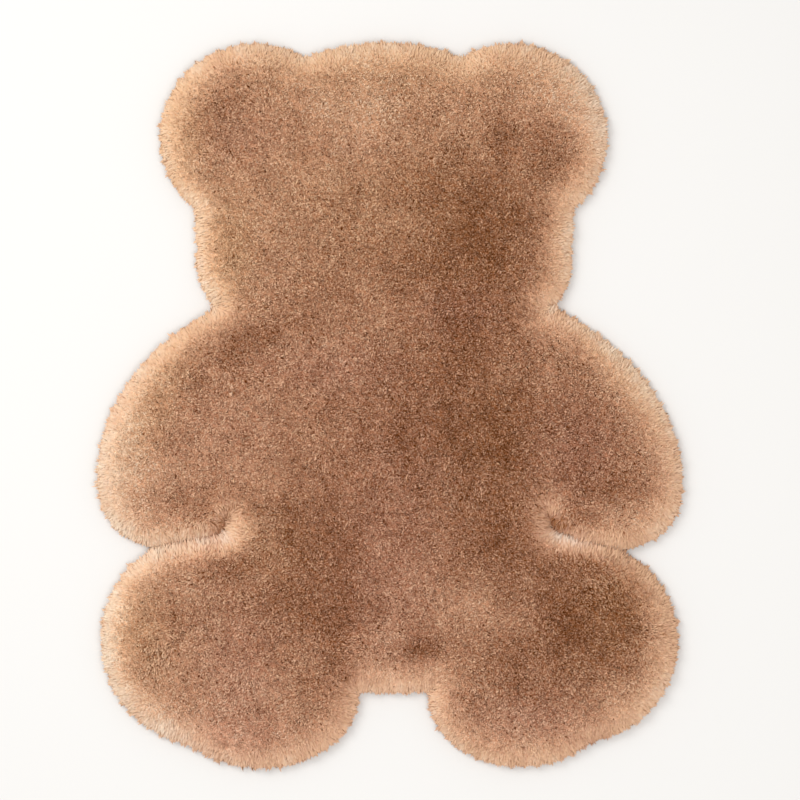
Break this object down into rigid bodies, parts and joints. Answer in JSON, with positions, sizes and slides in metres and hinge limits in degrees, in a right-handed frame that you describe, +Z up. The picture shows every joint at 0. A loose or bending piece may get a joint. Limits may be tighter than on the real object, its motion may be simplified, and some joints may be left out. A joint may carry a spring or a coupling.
{
  "type": "bear shaped rug",
  "caption": "Flat plush floor rug cut to a bear's outline, with rounded ears, arms and legs, a slit beside each arm and a soft shaggy rim.",
  "frame": {"origin": "on the floor, under the middle of the rug's bounding box", "axes": "+Y from the legs to the head, +Z up out of the floor, +X to the right when seen from above with the head at the top"},
  "size_m": [0.8186, 1.0146, 0.0275],
  "materials": {
    "fur": "plush pile"
  },
  "bodies": {
    "root": {"rug": "fur"}
  },
  "joints": []
}
